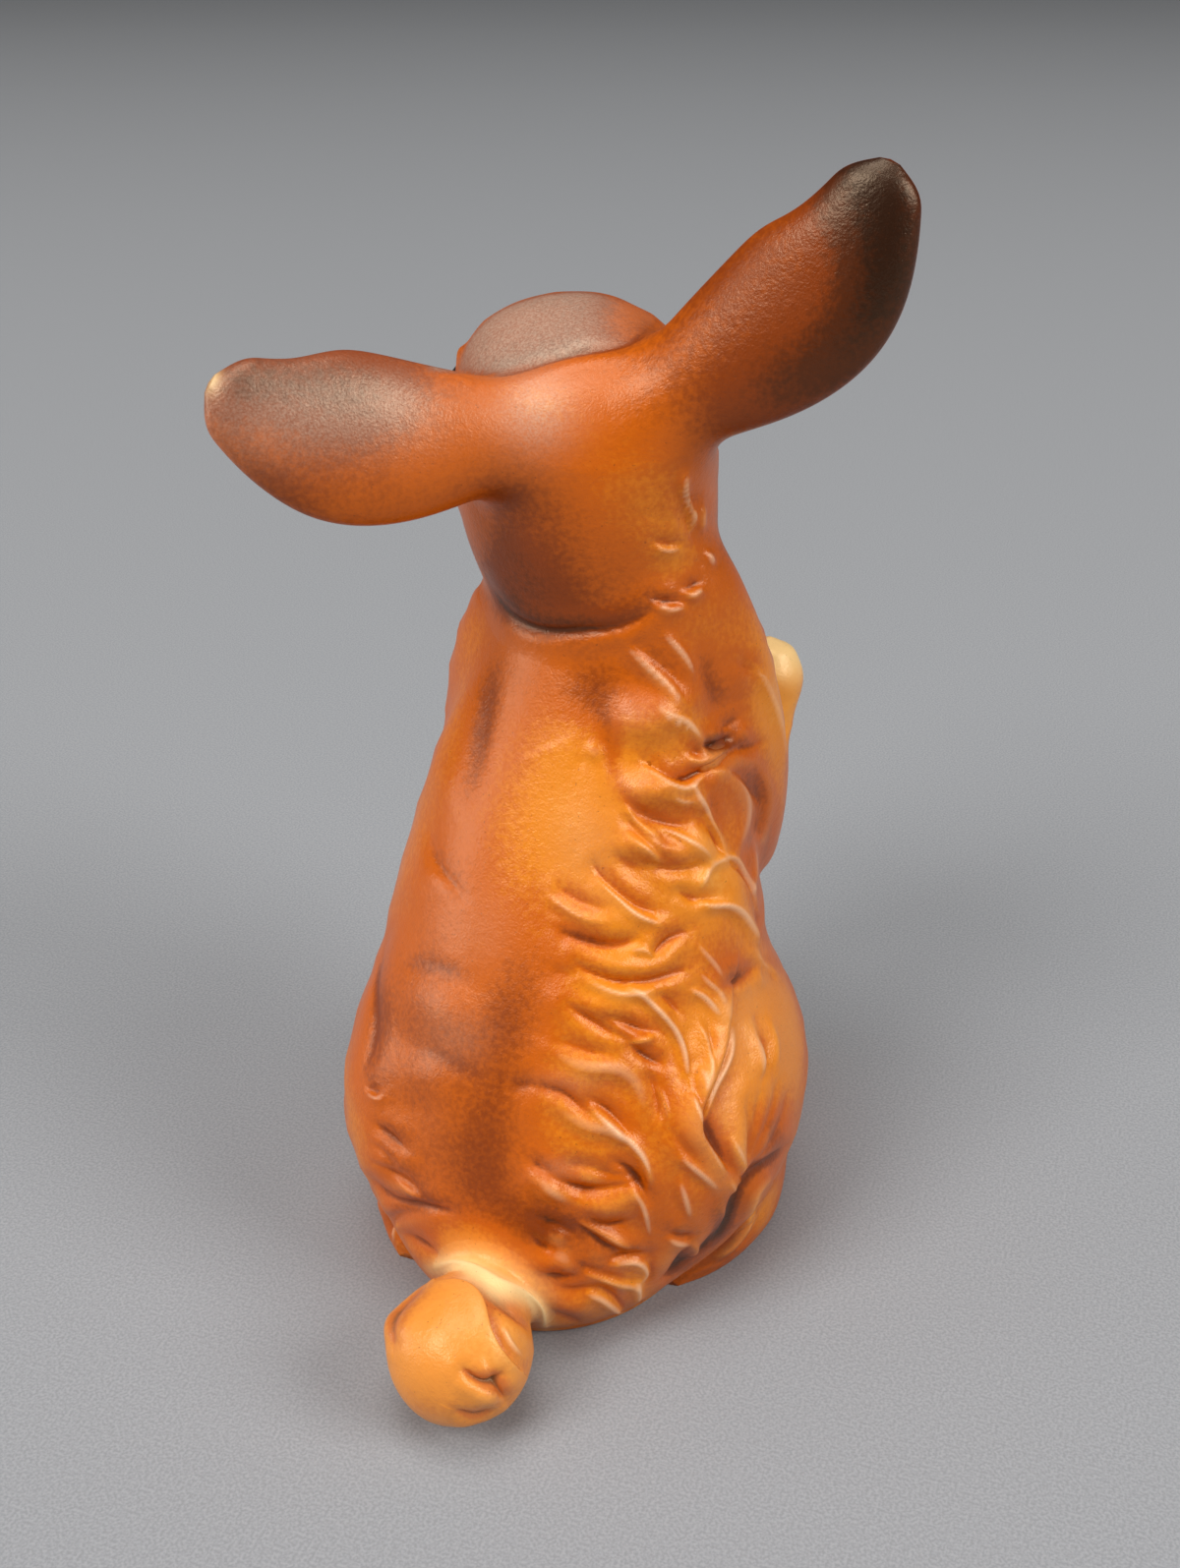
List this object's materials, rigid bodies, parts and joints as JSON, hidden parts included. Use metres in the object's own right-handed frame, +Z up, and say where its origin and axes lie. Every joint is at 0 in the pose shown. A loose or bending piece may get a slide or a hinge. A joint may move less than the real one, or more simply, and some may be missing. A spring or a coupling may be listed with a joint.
{
  "type": "rabbit figurine",
  "caption": "Hollow ceramic figurine of a rabbit that sits up with raised forepaws, turned head, spread ears and a ball tail, on a flat base.",
  "frame": {"origin": "on the resting plane, under the middle of the body", "axes": "+Z is up, the body faces -Y, and the rabbit's left side is +X"},
  "size_m": [0.0716, 0.0998, 0.1456],
  "materials": {
    "fired_brown": "satin, airbrushed orange-brown",
    "fired_dark": "satin, airbrushed dark brown",
    "fired_cream": "satin, cream over the bare clay"
  },
  "bodies": {
    "root": {"body": "fired_brown", "head": "fired_brown", "left_ear": "fired_dark", "right_ear": "fired_dark", "left_foreleg": "fired_brown", "right_foreleg": "fired_brown", "left_hind_foot": "fired_brown", "right_hind_foot": "fired_brown", "tail": "fired_cream"}
  },
  "joints": []
}
